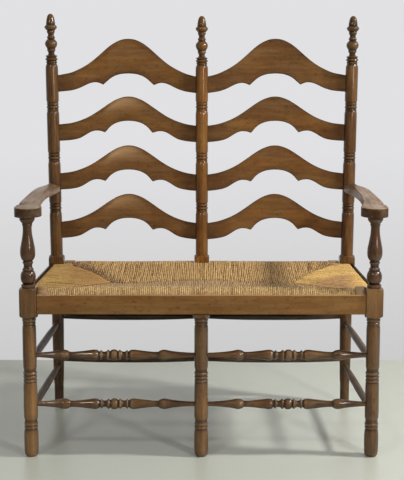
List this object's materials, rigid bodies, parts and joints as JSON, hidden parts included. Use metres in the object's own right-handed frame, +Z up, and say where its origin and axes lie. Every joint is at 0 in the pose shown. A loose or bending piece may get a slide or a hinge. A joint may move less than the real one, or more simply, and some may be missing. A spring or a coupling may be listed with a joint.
{
  "type": "chair-back settee",
  "caption": "Ladder-back settee like joined armchairs: turned posts with finials, arched slats, shaped arms, a woven rush seat and turned stretchers.",
  "frame": {"origin": "on the floor, under the middle of the bounding box", "axes": "+X to the right of someone facing the settee, +Y towards its back, +Z up"},
  "size_m": [0.998, 0.6018, 1.212],
  "materials": {
    "post_wood": "aged brown stain with a soft wax shine, darker in the turned grooves",
    "slat_wood": "aged brown stain with long grain and a soft wax shine",
    "arm_wood": "hand-worn brown, paler and smoother on top",
    "rail_wood": "plain brown wood, paler where the rail is bare",
    "dark_wood": "very dark stained strip",
    "stretcher_wood": "aged brown stain, duller and more rubbed than the posts",
    "rush": "twisted rush cords, straw-coloured with browner strands"
  },
  "bodies": {
    "root": {"rear_post_left": "post_wood", "rear_post_centre": "post_wood", "rear_post_right": "post_wood", "front_post_left": "post_wood", "front_post_right": "post_wood", "front_leg_centre": "post_wood", "slat_left_1": "slat_wood", "slat_left_2": "slat_wood", "slat_left_3": "slat_wood", "slat_left_4": "slat_wood", "slat_right_1": "slat_wood", "slat_right_2": "slat_wood", "slat_right_3": "slat_wood", "slat_right_4": "slat_wood", "arm_left": "arm_wood", "arm_right": "arm_wood", "front_seat_rail": "rail_wood", "rear_seat_rail_left": "rail_wood", "rear_seat_rail_right": "rail_wood", "side_seat_rail_left": "rail_wood", "side_seat_rail_right": "rail_wood", "front_facing": "rail_wood", "side_facing_left": "dark_wood", "side_facing_right": "dark_wood", "front_stretcher_upper_left": "stretcher_wood", "front_stretcher_upper_right": "stretcher_wood", "front_stretcher_lower_left": "stretcher_wood", "front_stretcher_lower_right": "stretcher_wood", "rear_stretcher_upper_left": "stretcher_wood", "rear_stretcher_upper_right": "stretcher_wood", "rear_stretcher_lower_left": "stretcher_wood", "rear_stretcher_lower_right": "stretcher_wood", "side_stretcher_upper_left": "stretcher_wood", "side_stretcher_lower_left": "stretcher_wood", "side_stretcher_upper_right": "stretcher_wood", "side_stretcher_lower_right": "stretcher_wood", "centre_stretcher_upper": "stretcher_wood", "centre_stretcher_lower": "stretcher_wood", "rush_seat": "rush"}
  },
  "joints": []
}
